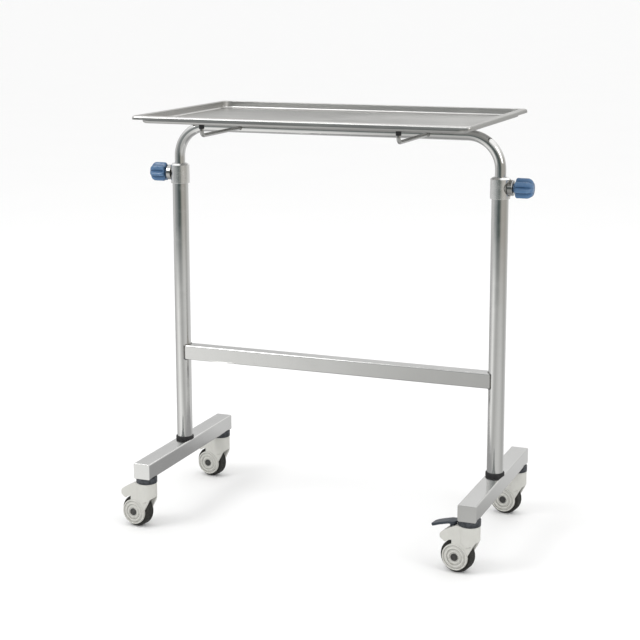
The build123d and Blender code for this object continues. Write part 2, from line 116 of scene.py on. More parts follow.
class Look:
    """A Principled material, with short calls for the nodes that feed it."""

    def __init__(self, name, **sockets):
        self.material = bpy.data.materials.new(name)
        self.material.use_nodes = True
        self.tree = self.material.node_tree
        self.shader = self.tree.nodes["Principled BSDF"]
        self.coords = self.node("ShaderNodeTexCoord").outputs["Object"]
        for socket, value in sockets.items():
            self.shader.inputs[socket.replace("_", " ")].default_value = value

    def node(self, kind, inputs=None, **settings):
        return add_node(self.tree, kind, inputs, **settings)

    def feed(self, socket, value):
        self.tree.links.new(value, self.shader.inputs[socket])

    def noise(self, scale, detail, stretch=(1.0, 1.0, 1.0), distortion=0.0):
        """Noise whose features are about 1 / scale metres, longer along an axis with a small stretch."""
        mapped = self.node("ShaderNodeMapping", {"Vector": self.coords, "Scale": stretch})
        made = self.node("ShaderNodeTexNoise", {
            "Vector": mapped.outputs["Vector"], "Scale": scale, "Detail": detail, "Distortion": distortion,
        })
        return made.outputs["Fac"]

    def scratches(self, scale, stretch, width):
        """Thin lines, 1 on a scratch and 0 off it."""
        mapped = self.node("ShaderNodeMapping", {"Vector": self.coords, "Scale": stretch})
        cells = self.node("ShaderNodeTexVoronoi", {
            "Vector": mapped.outputs["Vector"], "Scale": scale, "Randomness": 1.0,
        }, feature="DISTANCE_TO_EDGE")
        return self.remap(cells.outputs["Distance"], 0.0, width, 1.0, 0.0)

    def remap(self, value, low, high, to_low, to_high):
        made = self.node("ShaderNodeMapRange", {
            "Value": value, "From Min": low, "From Max": high, "To Min": to_low, "To Max": to_high,
        })
        return made.outputs["Result"]

    def math(self, operation, a, b):
        return self.node("ShaderNodeMath", {0: a, 1: b}, operation=operation).outputs[0]

    def mix(self, factor, a, b):
        return mix_colours(self.tree, factor, a, b)

    def edges(self):
        """1 on worn outer edges, 0 on flats and in hollows."""
        point = self.node("ShaderNodeNewGeometry").outputs["Pointiness"]
        return self.remap(point, 0.51, 0.6, 0.0, 1.0)

    def hollows(self):
        """1 in the bottom of grooves, 0 on flats and edges."""
        point = self.node("ShaderNodeNewGeometry").outputs["Pointiness"]
        return self.remap(point, 0.44, 0.495, 1.0, 0.0)

    def near_floor(self, low, high):
        """1 below the height low, 0 above the height high."""
        parts = self.node("ShaderNodeSeparateXYZ", {"Vector": self.coords})
        return self.remap(parts.outputs["Z"], low, high, 1.0, 0.0)

    def bump(self, height, strength, depth, under=None):
        inputs = {"Height": height, "Strength": strength, "Distance": depth}
        if under is not None:
            inputs["Normal"] = under
        return self.node("ShaderNodeBump", inputs).outputs["Normal"]


# Stretch of a noise whose features run along one axis.
ALONG = {"x": (0.02, 1.0, 1.0), "y": (1.0, 0.02, 1.0), "z": (1.0, 1.0, 0.02)}


def polished_steel(name, along, dark=(0.74, 0.74, 0.73), light=(0.81, 0.81, 0.80), rough=(0.05, 0.17)):
    """Mirror-polished stainless tube: faint drawing lines along it, smudges, and a slight ripple."""
    look = Look(name, Metallic=1.0)
    stretch = ALONG[along]
    tint = look.noise(9.0, 3.0)
    look.feed("Base Color", look.mix(tint, dark, light))
    lines = look.noise(700.0, 2.0, stretch)
    smudge = look.remap(look.noise(30.0, 5.0, distortion=0.6), 0.42, 0.72, *rough)
    grain = look.remap(lines, 0.3, 0.7, 0.0, 0.06)
    look.feed("Roughness", look.math("ADD", smudge, grain))
    ripple = look.bump(look.noise(16.0, 1.0), 0.10, 2.0 * MM)
    streaks = look.bump(look.noise(110.0, 2.0, stretch), 0.14, 0.30 * MM, ripple)
    look.feed("Normal", look.bump(lines, 0.10, 0.05 * MM, streaks))
    return look.material


def tray_steel(name):
    """Pressed sheet with a fine brushed grain along the tray and light use scratches."""
    look = Look(name, Metallic=1.0, Anisotropic=0.35, Specular_Tint=(0.78, 0.78, 0.77, 1.0))
    brushing = look.remap(look.noise(260.0, 4.0, ALONG["x"]), 0.32, 0.68, 0.0, 1.0)
    clouds = look.mix(look.noise(5.0, 4.0), (0.50, 0.496, 0.485), (0.57, 0.567, 0.555))
    look.feed("Base Color", look.mix(brushing, clouds, (0.63, 0.627, 0.615)))
    grain = look.noise(1400.0, 3.0, ALONG["x"])
    scratch = look.scratches(60.0, (0.25, 1.0, 1.0), 0.012)
    patches = look.remap(look.noise(14.0, 5.0, distortion=0.5), 0.35, 0.7, 0.27, 0.34)
    rough = look.math("ADD", patches, look.remap(grain, 0.3, 0.7, 0.0, 0.08))
    look.feed("Roughness", look.math("ADD", rough, look.math("MULTIPLY", scratch, 0.05)))
    sag = look.bump(look.noise(4.0, 1.0), 0.05, 3.0 * MM)
    fine = look.bump(grain, 0.10, 0.04 * MM, sag)
    look.feed("Normal", look.bump(scratch, 0.05, -0.05 * MM, fine))
    return look.material


def weld_steel(name):
    """Weld bead: dull silver with straw and blue heat tint."""
    look = Look(name, Metallic=1.0)
    heat = look.remap(look.noise(160.0, 3.0, distortion=1.0), 0.35, 0.68, 0.0, 1.0)
    tinted = look.mix(heat, (0.26, 0.24, 0.20), (0.11, 0.12, 0.15))
    bright = look.remap(look.noise(420.0, 2.0), 0.4, 0.6, 0.0, 0.7)
    look.feed("Base Color", look.mix(bright, tinted, (0.32, 0.32, 0.31)))
    look.feed("Roughness", look.remap(look.noise(900.0, 3.0), 0.3, 0.7, 0.22, 0.45))
    look.feed("Normal", look.bump(look.noise(1200.0, 3.0), 0.35, 0.15 * MM))
    return look.material


def machined_steel(name, colour, rough):
    """Machined or plated steel, with a fine grain that runs upright."""
    look = Look(name, Metallic=1.0)
    dark = tuple(0.82 * c for c in colour)
    look.feed("Base Color", look.mix(look.noise(90.0, 4.0), dark, colour))
    marks = look.noise(1600.0, 2.0, ALONG["z"])
    look.feed("Roughness", look.remap(marks, 0.3, 0.7, rough - 0.06, rough + 0.08))
    look.feed("Normal", look.bump(marks, 0.2, 0.05 * MM))
    return look.material


GRIME_COLOUR = (0.20, 0.18, 0.15)
GRIME_HEIGHTS = (4.0 * MM, 70.0 * MM)  # grime is full below the first height and gone above the second
GROOVE_SHADE_SHARE = 0.2              # colour of the painted shade in a groove, as a share of the plastic's own


def moulded_plastic(name, colour, worn, rough, grain_scale=1800.0, grain_depth=0.06, grime=0.0, groove_shade=0.0):
    """Injection-moulded part: spark-eroded grain, flow marks, paler edges and painted shade in its
    grooves.

    Grime is how much dirt it has near the floor, and the last argument how dark the painted shade in its
    grooves is, from 0 to 1.
    """
    look = Look(name, Specular_IOR_Level=0.5)
    darker = tuple(0.88 * c for c in colour)
    body = look.mix(look.noise(45.0, 4.0, distortion=0.8), darker, colour)
    handled = look.remap(look.noise(130.0, 3.0), 0.4, 0.6, 0.2, 1.0)
    body = look.mix(look.math("MULTIPLY", look.edges(), handled), body, worn)
    if grime:
        spots = look.remap(look.noise(170.0, 6.0), 0.5, 0.66, 0.0, 1.0)
        low_spots = look.math("MULTIPLY", look.near_floor(*GRIME_HEIGHTS), spots)
        body = look.mix(look.math("MULTIPLY", low_spots, grime), body, GRIME_COLOUR)
    # Painted shade: grooves and hollows are darkened towards a share of the plastic's own colour.
    if groove_shade:
        shaded_colour = tuple(GROOVE_SHADE_SHARE * c for c in colour)
        body = look.mix(look.math("MULTIPLY", look.hollows(), groove_shade), body, shaded_colour)
    look.feed("Base Color", body)
    grain = look.noise(grain_scale, 2.0)
    cloudy = look.noise(60.0, 3.0)
    base_rough = look.remap(cloudy, 0.3, 0.7, rough - 0.05, rough + 0.07)
    look.feed("Roughness", look.math("ADD", base_rough, look.remap(grain, 0.3, 0.7, -0.03, 0.03)))
    waves = look.bump(cloudy, 0.08, 0.4 * MM)
    look.feed("Normal", look.bump(grain, 0.35, grain_depth * MM, waves))
    return look.material


def rubber(name, colour, dust, scuffed=False):
    """Moulded rubber: matt, finely grained, with dust, and scuffs where it runs on the floor."""
    look = Look(name, Specular_IOR_Level=0.35)
    body = look.mix(look.noise(80.0, 4.0), tuple(0.7 * c for c in colour), colour)
    powder = look.remap(look.noise(240.0, 6.0), 0.48, 0.75, 0.0, 0.55)
    body = look.mix(powder, body, dust)
    if scuffed:
        marks = look.scratches(420.0, (1.0, 0.35, 1.0), 0.05)
        body = look.mix(look.math("MULTIPLY", marks, 0.35), body, tuple(1.8 * c for c in dust))
    look.feed("Base Color", body)
    look.feed("Roughness", look.remap(look.noise(150.0, 4.0), 0.3, 0.7, 0.50, 0.78))
    look.feed("Normal", look.bump(look.noise(1500.0, 3.0), 0.4, 0.08 * MM))
    return look.material


# Each finish: the function that makes it, and what it is made with.
FINISHES = {
    "polished_x": (polished_steel, {"along": "x"}),
    "polished_y": (polished_steel, {"along": "y"}),
    "polished_z": (polished_steel, {"along": "z"}),
    "satin_collar": (polished_steel, {
        "along": "z", "dark": (0.86, 0.86, 0.85), "light": (0.92, 0.92, 0.91), "rough": (0.20, 0.30),
    }),
    # A darker copy of the polished steel: painted shade on the support rods and clamp bosses.
    "dull_rod": (polished_steel, {
        "along": "y", "dark": (0.44, 0.44, 0.43), "light": (0.54, 0.54, 0.53),
    }),
    "tray_sheet": (tray_steel, {}),
    "weld_bead": (weld_steel, {}),
    "zinc_plated_steel": (machined_steel, {"colour": (0.62, 0.63, 0.66), "rough": 0.30}),
    "bearing_steel": (machined_steel, {"colour": (0.66, 0.66, 0.67), "rough": 0.20}),
    "black_rubber": (rubber, {"colour": (0.020, 0.020, 0.021), "dust": (0.050, 0.050, 0.048)}),
    "tread_rubber": (rubber, {
        "colour": (0.024, 0.024, 0.021), "dust": (0.060, 0.059, 0.053), "scuffed": True,
    }),
    "white_nylon": (moulded_plastic, {
        "colour": (0.40, 0.40, 0.385), "worn": (0.50, 0.50, 0.48), "rough": 0.45,
    }),
    "blue_knob": (moulded_plastic, {
        "colour": (0.076, 0.158, 0.292), "worn": (0.18, 0.30, 0.45), "rough": 0.22,
        # its grooves are darkened with painted shade
        "grain_scale": 1500.0, "grain_depth": 0.03, "groove_shade": 0.8,
    }),
    "caster_plastic": (moulded_plastic, {
        "colour": (0.575, 0.572, 0.535), "worn": (0.66, 0.655, 0.62), "rough": 0.42,
        # grime is dirt near the floor; the second value darkens its grooves with painted shade
        "grime": 0.45, "groove_shade": 0.95,
    }),
    "slate_plastic": (moulded_plastic, {
        "colour": (0.034, 0.044, 0.058), "worn": (0.09, 0.105, 0.13), "rough": 0.38, "grime": 0.30,
    }),
    "seal_plastic": (moulded_plastic, {
        "colour": (0.018, 0.022, 0.027), "worn": (0.06, 0.065, 0.075), "rough": 0.42, "grime": 0.30,
    }),
    "hub_plastic": (moulded_plastic, {
        "colour": (0.045, 0.045, 0.043), "worn": (0.11, 0.11, 0.105), "rough": 0.45, "grime": 0.30,
    }),
}


def make_materials():
    return {name: make(name, **settings) for name, (make, settings) in FINISHES.items()}


def steel_for(node):
    """Polished steel whose drawing lines run along the node's longest side."""
    low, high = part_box(node)
    size = high - low
    if size.z >= max(size.x, size.y):
        return "polished_z"
    return "polished_x" if size.x >= size.y else "polished_y"


def finish_for(node, slot_name):
    """A few nodes have a finish of their own, the support rods and clamp bosses a darker copy of the steel
    as painted shade, and the rest take the one that their slot names.
    """
    if node.endswith("collar"):
        return "satin_collar"
    # The support rods and clamp bosses are darkened as painted shade.
    if node.endswith(("support_rod", "clamp_boss")):
        return "dull_rod"
    if node == "caster_seal_rings":
        return "seal_plastic"
    if slot_name == "polished_stainless":
        return steel_for(node)
    return slot_name


def dress_cad_nodes(materials):
    for node, piece in frame["nodes"].items():
        for slot in piece.material_slots:
            slot_name = slot.material.name.split(".")[0]
            slot.material = materials[finish_for(node, slot_name)]


# ---------------------------------------------------------------- mesh helpers

def link_piece(name, mesh, material):
    piece = bpy.data.objects.new(name, mesh)
    bpy.context.collection.objects.link(piece)
    mesh.materials.clear()
    mesh.materials.append(material)
    return piece


def smooth(mesh, degrees=35.0):
    """Shades a mesh smooth, but keeps edges that turn by more than the given degrees sharp."""
    mesh.polygons.foreach_set("use_smooth", [True] * len(mesh.polygons))
    mesh.set_sharp_from_angle(angle=math.radians(degrees))


def frame_along(place, axis):
    """A matrix that puts the origin at place and turns +Z to axis."""
    turn = Vector(axis).to_track_quat("Z", "X").to_matrix().to_4x4()
    return Matrix.Translation(place) @ turn


def round_turn(steps):
    """The angles of evenly spaced steps round a full turn."""
    return [2 * math.pi * i / steps for i in range(steps)]


def grid_mesh(name, rings, closed_ends=False):
    """A mesh skinned over equal rings of points; closed_ends joins the last ring to the first."""
    count = len(rings[0])
    points = [p for loop in rings for p in loop]
    faces = []
    spans = len(rings) if closed_ends else len(rings) - 1
    for r in range(spans):
        following = (r + 1) % len(rings)
        for s in range(count):
            t = (s + 1) % count
            faces.append((r * count + s, r * count + t, following * count + t, following * count + s))
    mesh = bpy.data.meshes.new(name)
    mesh.from_pydata(points, [], faces)
    return mesh


def arc(centre_r, centre_h, radius, start, end, steps):
    """Points (r, h) of an arc, angles in degrees from +r towards +h."""
    points = []
    for i in range(steps + 1):
        angle = math.radians(start + (end - start) * i / steps)
        points.append((centre_r + radius * math.cos(angle), centre_h + radius * math.sin(angle)))
    return points


def mend(mesh, join=None, cap=False):
    """Faces a mesh outward, after joining points closer than join or capping open ends where asked."""
    work = bmesh.new()
    work.from_mesh(mesh)
    if join is not None:
        bmesh.ops.remove_doubles(work, verts=work.verts, dist=join)
        bmesh.ops.dissolve_degenerate(work, edges=work.edges, dist=join / 10)
    if cap:
        bmesh.ops.holes_fill(work, edges=[e for e in work.edges if e.is_boundary], sides=0)
    bmesh.ops.recalc_face_normals(work, faces=work.faces)
    work.to_mesh(mesh)
    work.free()


def lathe(name, outline, place, segments):
    """Turns an outline of (radius, height) points round +Z, then moves it by the matrix place."""
    rings = []
    for angle in round_turn(segments):
        rings.append([(r * math.cos(angle), r * math.sin(angle), h) for r, h in outline])
    mesh = grid_mesh(name, rings, closed_ends=True)
    mend(mesh, join=0.001 * MM)
    mesh.transform(place)
    smooth(mesh)
    return mesh


def welded_copy(node):
    """The CAD node's mesh in a bmesh, with its split points joined."""
    made = bmesh.new()
    made.from_mesh(frame["nodes"][node].data)
    bmesh.ops.remove_doubles(made, verts=made.verts, dist=0.002 * MM)
    return made


MOULD_VOXEL = 0.5 * MM
MOULD_KEPT = 0.35             # share of the remeshed faces that is kept


def moulded(name, source, rounds):
    """Remeshes a bmesh finely and relaxes it, which rounds every edge as a mould does."""
    mesh = bpy.data.meshes.new(name)
    source.to_mesh(mesh)
    source.free()
    helper = bpy.data.objects.new(name, mesh)
    bpy.context.collection.objects.link(helper)
    remesh = helper.modifiers.new("remesh", "REMESH")
    remesh.mode = "VOXEL"
    remesh.voxel_size = MOULD_VOXEL
    relax = helper.modifiers.new("relax", "SMOOTH")
    relax.factor = 0.5
    relax.iterations = rounds
    thin = helper.modifiers.new("thin", "DECIMATE")
    thin.ratio = MOULD_KEPT
    shown = helper.evaluated_get(bpy.context.evaluated_depsgraph_get())
    made = bpy.data.meshes.new_from_object(shown)
    bpy.data.objects.remove(helper)
    made.polygons.foreach_set("use_smooth", [True] * len(made.polygons))
    return made


def stand_for(piece, node, body):
    """The piece is shown instead of a CAD node, and moves with its body."""
    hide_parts(node)
    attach(piece, body)


# ---------------------------------------------------------------- height clamps

KNOB_LOBES = 7
KNOB_STEPS = 140              # points round the knob
LOBE_POWER = 0.7              # under 1, it makes the lobes broad and the grooves between them narrow
KNOB_GROOVE = 0.32            # depth of the grooves between lobes, as a share of the radius
GROOVE_FULL = 0.92            # on the front, the grooves are full outside this share of the radius
GROOVE_END = 0.42             # and gone inside this one
NECK_SHARE = 0.46             # radius of the neck, as a share of the knob's
NECK_LENGTH = 4.0 * MM
NECK_CAP = 0.45               # the neck's end has a flat cap of this share of the neck's radius
BACK_HOLLOW = 0.4 * MM        # the back face dips by this much towards the neck
BACK_CORNER = 5.0 * MM        # radius of the round back edge
FRONT_CORNER = 14.0 * MM      # radius of the domed front edge
FACE_SUNK = 0.35 * MM         # from the front of the node to the knob's flat face
# The face, from its edge to its middle: (share of the radius, depth). It has one ring groove.
KNOB_FACE = (
    (0.50, 0.0), (0.46, 0.7 * MM), (0.42, 0.7 * MM), (0.39, 0.1 * MM), (0.20, 0.0), (0.02, 0.0),
)


def knob_profile(length, radius):
    """Outline (radius, height, groove share) from the back of the neck to the middle of the face."""
    neck = NECK_SHARE * radius
    points = [(NECK_CAP * neck, -NECK_LENGTH, 0.0), (neck, -NECK_LENGTH, 0.0), (neck, BACK_HOLLOW, 0.0)]
    for r, h in arc(radius - BACK_CORNER, BACK_CORNER, BACK_CORNER, -90, 0, 6):
        points.append((r, h, (r - neck) / (radius - neck)))
    side_steps = 6
    side_length = length - BACK_CORNER - FRONT_CORNER
    for i in range(1, side_steps + 1):
        points.append((radius, BACK_CORNER + side_length * i / side_steps, 1.0))
    for r, h in arc(radius - FRONT_CORNER, length - FRONT_CORNER, FRONT_CORNER, 8, 78, 9):
        share = (r / radius - GROOVE_END) / (GROOVE_FULL - GROOVE_END)
        points.append((r, h, min(1.0, max(0.0, share))))
    points += [(share * radius, length - FACE_SUNK - depth, 0.0) for share, depth in KNOB_FACE]
    return points


def make_knob(name, side, materials):
    """Lobed knob on the clamp's axis, in the place of the CAD knob."""
    node = f"{name}_knob"
    low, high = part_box(node)
    axis_point = Vector(joints[f"{name}_knob_turn"]["pos_m"])
    radius = (high.z - low.z) / 2
    start = (low.x if side > 0 else -high.x) + NECK_LENGTH
    length = (high.x if side > 0 else -low.x) - start
    rings = []
    for r, h, share in knob_profile(length, radius):
        loop = []
        for angle in round_turn(KNOB_STEPS):
            lobe = (0.5 + 0.5 * math.cos(KNOB_LOBES * angle)) ** LOBE_POWER
            reach = r * (1.0 - KNOB_GROOVE * share * (1.0 - lobe))
            loop.append((reach * math.cos(angle), reach * math.sin(angle), h))
        rings.append(loop)
    mesh = grid_mesh(node, rings)
    mend(mesh, cap=True)
    place = Vector((side * start, axis_point.y, axis_point.z))
    mesh.transform(frame_along(place, (side, 0, 0)))
    smooth(mesh, degrees=42.0)
    piece = link_piece(f"{name}_lobed_knob", mesh, materials["blue_knob"])
    stand_for(piece, node, f"{name}_knob")


# ---------------------------------------------------------------- casters

def wheel_frame(caster):
    rolling = joints[f"{caster}_roll"]
    return frame_along(Vector(rolling["pos_m"]), rolling["axis"])


TREAD_HALF_WIDTH = 12.0 * MM
TREAD_DEPTH = 8.5 * MM        # from the wheel core to the running surface
TREAD_SHOULDER = 4.0 * MM     # radius of the shoulders
RIB_PLACE = 2.2 * MM          # of the round rib on each side wall, out from the wheel core
RIB_RADIUS = 0.8 * MM
# The side wall inside the rib and just outside it: (distance out from the core, depth below the rib).
WALL_INSIDE = ((0.0, 0.4 * MM), (1.2 * MM, 0.2 * MM))
WALL_OUTSIDE = (3.2 * MM, 0.5 * MM)
TREAD_GROOVES = (5.0 * MM, 0.0, -5.0 * MM)  # places of the water grooves across the width
# One wall of a groove: (depth, distance from the groove's middle).
GROOVE_WALL = ((0.0, 0.80 * MM), (0.25 * MM, 0.44 * MM), (0.90 * MM, 0.32 * MM))
TREAD_STEPS = 128             # points round the wheel


def tread_outline(outer):
    """Section of the tread as (radius, height) points, from one inner edge round to the other."""
    inner = outer - TREAD_DEPTH
    half = TREAD_HALF_WIDTH
    wall = [(inner + out, half - depth) for out, depth in WALL_INSIDE]
    wall += arc(inner + RIB_PLACE, half - RIB_RADIUS, RIB_RADIUS, 120, 60, 4)
    wall.append((inner + WALL_OUTSIDE[0], half - WALL_OUTSIDE[1]))
    wall += arc(outer - TREAD_SHOULDER, half - TREAD_SHOULDER, TREAD_SHOULDER, 90, 0, 7)
    outline = list(wall)
    for centre in TREAD_GROOVES:
        outline += [(outer - depth, centre + away) for depth, away in GROOVE_WALL]
        outline += [(outer - depth, centre - away) for depth, away in reversed(GROOVE_WALL)]
    outline += [(r, -h) for r, h in reversed(wall)]
    return outline


def make_tread(caster, materials):
    """Tread with rounded shoulders, three water grooves and a rib on each side wall."""
    node = f"{caster}_tread"
    low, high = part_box(node)
    mesh = lathe(node, tread_outline((high.z - low.z) / 2), wheel_frame(caster), TREAD_STEPS)
    piece = link_piece(f"{caster}_grooved_tread", mesh, materials["tread_rubber"])
    stand_for(piece, node, f"{caster}_wheel")


BOSS_FACE = 20.0 * MM         # from the middle of a caster to the outer faces of its axle bosses
# Raised rings on each boss: (radius, radius of the ring's section).
BOSS_RINGS = ((28.2 * MM, 1.7 * MM), (20.7 * MM, 2.1 * MM), (13.0 * MM, 1.9 * MM))
BOSS_RING_STEPS = 120         # points round a ring
BOSS_SECTION_STEPS = 12       # points round its section


def boss_frame(caster, side):
    """A matrix at the middle of an axle boss's outer face."""
    return wheel_frame(caster) @ Matrix.Translation((0, 0, side * BOSS_FACE))


def add_ring(made, place, radius, thickness):
    """Adds a closed round ring to a bmesh, about +Z of the matrix place."""
    rings = []
    for angle in round_turn(BOSS_RING_STEPS):
        loop = []
        for turn in round_turn(BOSS_SECTION_STEPS):
            reach = radius + thickness * math.cos(turn)
            loop.append((reach * math.cos(angle), reach * math.sin(angle), thickness * math.sin(turn)))
        rings.append(loop)
    mesh = grid_mesh("boss_ring", rings, closed_ends=True)
    mesh.transform(place)
    made.from_mesh(mesh)
    bpy.data.meshes.remove(mesh)


def make_housing(caster, materials):
    """The CAD housing with raised rings round its axle bosses, and every edge softened."""
    node = f"{caster}_housing"
    source = welded_copy(node)
    for side in SIDES.values():
        for radius, thickness in BOSS_RINGS:
            add_ring(source, boss_frame(caster, side), radius, thickness)
    mesh = moulded(node, source, rounds=3)
    piece = link_piece(f"{caster}_moulded_housing", mesh, materials["caster_plastic"])
    stand_for(piece, node, f"{caster}_caster")


def make_pedal(caster, materials):
    """The CAD brake pedal with every edge softened."""
    node = f"{caster}_brake_pedal"
    mesh = moulded(node, welded_copy(node), rounds=5)
    piece = link_piece(f"{caster}_moulded_pedal", mesh, materials["slate_plastic"])
    stand_for(piece, node, f"{caster}_pedal")


CAP_RADIUS = 8.6 * MM
CAP_SUNK = 0.3 * MM           # how far the cap's back reaches into the boss
CAP_RIM = 1.0 * MM            # radius of the rolled rim
CAP_RIM_HEIGHT = 0.9 * MM     # of the middle of the rim above the boss
# The sunk disc and the raised centre mark: (radius, height above the boss).
CAP_DISC = ((6.2 * MM, 0.35 * MM), (3.0 * MM, 0.5 * MM))
CAP_CENTRE = ((2.6 * MM, 1.0 * MM), (1.6 * MM, 1.2 * MM), (0.0, 1.2 * MM))
CAP_STEPS = 64                # points round the cap


def make_hub_caps(caster, materials):
    """Two caps with a rolled rim round a sunk disc and a small centre mark."""
    node = f"{caster}_hub_caps"
    outline = [(0.0, -CAP_SUNK), (CAP_RADIUS, -CAP_SUNK)]
    outline += arc(CAP_RADIUS - CAP_RIM, CAP_RIM_HEIGHT, CAP_RIM, 0, 180, 8)
    outline += [*CAP_DISC, *CAP_CENTRE]
    made = bmesh.new()
    for side in SIDES.values():
        face = boss_frame(caster, side)
        if side < 0:
            face = face @ Matrix.Rotation(math.pi, 4, "X")
        cap = lathe(node, outline, face, CAP_STEPS)
        made.from_mesh(cap)
        bpy.data.meshes.remove(cap)
    mesh = bpy.data.meshes.new(node)
    made.to_mesh(mesh)
    made.free()
    smooth(mesh)
    piece = link_piece(f"{caster}_rimmed_hub_caps", mesh, materials["hub_plastic"])
    stand_for(piece, node, body_of[node])


# ---------------------------------------------------------------- weld beads

BEAD_STEPS = 10               # points round a bead's section
BEAD_RIPPLES = ((0.16, 2.1), (0.05, 0.7))  # share of the bead's radius, radians per point of its path
CROSSBAR_BEAD = 2.0 * MM      # radii of the beads
ROD_BEAD = 1.0 * MM
BOSS_BEAD = 1.1 * MM
ROD_PATH_STEPS = 36           # points along the round beads' paths
BOSS_PATH_STEPS = 120
CROSSBAR_CORNER = 3.0 * MM    # outer radius of the crossbar's edges
CROSSBAR_STEP = 0.9 * MM      # between the points of its bead's path


def bead(name, path, radius, body, materials):
    """A rippled weld bead round a closed path of points."""
    count = len(path)
    middle = sum(path, Vector()) / count
    rings = []
    for i, point in enumerate(path):
        ahead = (path[(i + 1) % count] - path[i - 1]).normalized()
        outward = point - middle
        outward = (outward - ahead * outward.dot(ahead)).normalized()
        across = ahead.cross(outward)
        ripple = radius * (1.0 + sum(share * math.sin(i * pace) for share, pace in BEAD_RIPPLES))
        rings.append([
            point + ripple * (math.cos(angle) * outward + math.sin(angle) * across)
            for angle in round_turn(BEAD_STEPS)
        ])
    mesh = grid_mesh(name, rings, closed_ends=True)
    mend(mesh)
    smooth(mesh, degrees=60.0)
    piece = link_piece(name, mesh, materials["weld_bead"])
    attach(piece, body)


def rounded_rectangle(width, height, corner, step):
    """Evenly spaced (u, v) points round a rectangle with round corners."""
    corners = []
    for turn, (su, sv) in enumerate(((1, 1), (-1, 1), (-1, -1), (1, -1))):
        centre_u = su * (width / 2 - corner)
        centre_v = sv * (height / 2 - corner)
        for u, v in arc(centre_u, centre_v, corner, 90 * turn, 90 * turn + 90, 6):
            corners.append(Vector((u, v)))
    points = []
    for i, start in enumerate(corners):
        end = corners[(i + 1) % len(corners)]
        parts = max(1, round((end - start).length / step))
        points += [start.lerp(end, k / parts) for k in range(parts)]
    return points


def middle_and_size(node):
    low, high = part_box(node)
    return (low + high) / 2, high - low


def make_crossbar_welds(materials):
    """Beads where the crossbar's ends meet the columns."""
    column, column_size = middle_and_size("right_column")
    bar, bar_size = middle_and_size("crossbar")
    outline = rounded_rectangle(bar_size.y, bar_size.z, CROSSBAR_CORNER, CROSSBAR_STEP)
    for name, side in SIDES.items():
        path = []
        for u, v in outline:
            reach = math.sqrt((column_size.x / 2) ** 2 - u ** 2)
            path.append(Vector((side * (column.x - reach), u, bar.z + v)))
        bead(f"{name}_crossbar_weld", path, CROSSBAR_BEAD, "base", materials)


def make_rod_welds(materials):
    """Beads where the cross rods pass through the sliding frame's tube."""
    tube_radius = middle_and_size("u_frame")[1].y / 2
    for name in SIDES:
        rod, rod_size = middle_and_size(f"{name}_support_rod")
        rod_radius = rod_size.x / 2
        rod_z = rod.z - rod_size.z / 2 + rod_radius
        for label, end in (("front", -1), ("rear", 1)):
            path = []
            for angle in round_turn(ROD_PATH_STEPS):
                lift = rod_radius * math.sin(angle)
                y = end * math.sqrt(tube_radius ** 2 - lift ** 2)
                path.append(Vector((rod.x + rod_radius * math.cos(angle), y, rod_z + lift)))
            bead(f"{name}_{label}_rod_weld", path, ROD_BEAD, "sliding_frame", materials)


def make_boss_welds(materials):
    """Beads where the clamp bosses meet the collars."""
    column = middle_and_size("right_column")[0]
    for name, side in SIDES.items():
        boss, boss_size = middle_and_size(f"{name}_clamp_boss")
        boss_radius = boss_size.y / 2
        collar_radius = middle_and_size(f"{name}_collar")[1].y / 2
        path = []
        for angle in round_turn(BOSS_PATH_STEPS):
            y = boss_radius * math.cos(angle)
            x = side * (column.x + math.sqrt(collar_radius ** 2 - y ** 2))
            path.append(Vector((x, y, boss.z + boss_radius * math.sin(angle))))
        bead(f"{name}_boss_weld", path, BOSS_BEAD, "base", materials)


# ---------------------------------------------------------------- studio

FLOOR_RINGS = (0.0005, 1.0, 5.0, 40.0, 300.0)  # radii of the floor's rings of points
FLOOR_STEPS = 64              # points round each ring
FLOOR_COLOUR = (0.93, 0.93, 0.928)
CLOUD_SHARE = 0.985           # colour of the floor's faint clouds, as a share of its own
PAINTED_TABLE_SHADOW = (0.36, 0.36, 0.36)  # painted shadow under the table, which the floor glows with to polished metal
PAINTED_SHADOW_RANGE = (0.40, 0.62)    # from the origin, the painted shadow gives way to the near floor's painted reflection
NEAR_RANGE = (2.6, 4.6)       # and the near floor to the studio round it
WHITE_STRENGTH = 1.06         # of the plain white that the camera and matt surfaces see
OVERHEAD = (1.15, 1.15, 1.15)  # what polished metal sees above it
OVERHEAD_RISE = (0.20, 0.75)  # from the first height on the unit sphere to the second, it takes over
STUDIO_YAW = 22.4             # degrees that the middle of the studio's front stands right of -Y


def by_ray(tree, plain, mirrored):
    """Shows plain, but mirrored to the rays that polished surfaces reflect."""
    rays = add_node(tree, "ShaderNodeLightPath")
    return add_node(tree, "ShaderNodeMixShader", {
        "Fac": rays.outputs["Is Glossy Ray"], 1: plain, 2: mirrored,
    }).outputs[0]


def surroundings(tree, direction, stops):
    """Colour of the studio by compass direction: 0.5 is the front, and it rises to the right."""
    parts = add_node(tree, "ShaderNodeSeparateXYZ", {0: direction}).outputs
    minus_y = add_node(tree, "ShaderNodeMath", {0: parts["Y"], 1: -1.0}, operation="MULTIPLY").outputs[0]
    bearing = add_node(tree, "ShaderNodeMath", {0: parts["X"], 1: minus_y}, operation="ARCTAN2")
    turned = add_node(tree, "ShaderNodeMath", {
        0: bearing.outputs[0], 1: 1 / (2 * math.pi), 2: 1.5 - STUDIO_YAW / 360.0,
    }, operation="MULTIPLY_ADD")
    wrapped = add_node(tree, "ShaderNodeMath", {0: turned.outputs[0]}, operation="FRACT")
    ramp = add_node(tree, "ShaderNodeValToRGB", {"Fac": wrapped.outputs[0]})
    ramp.color_ramp.interpolation = "B_SPLINE"
    elements = ramp.color_ramp.elements
    while len(elements) < len(stops):
        elements.new(0.5)
    for element, (place, colour) in zip(elements, stops):
        element.position = place
        element.color = (*colour, 1.0)
    return ramp.outputs["Color"]


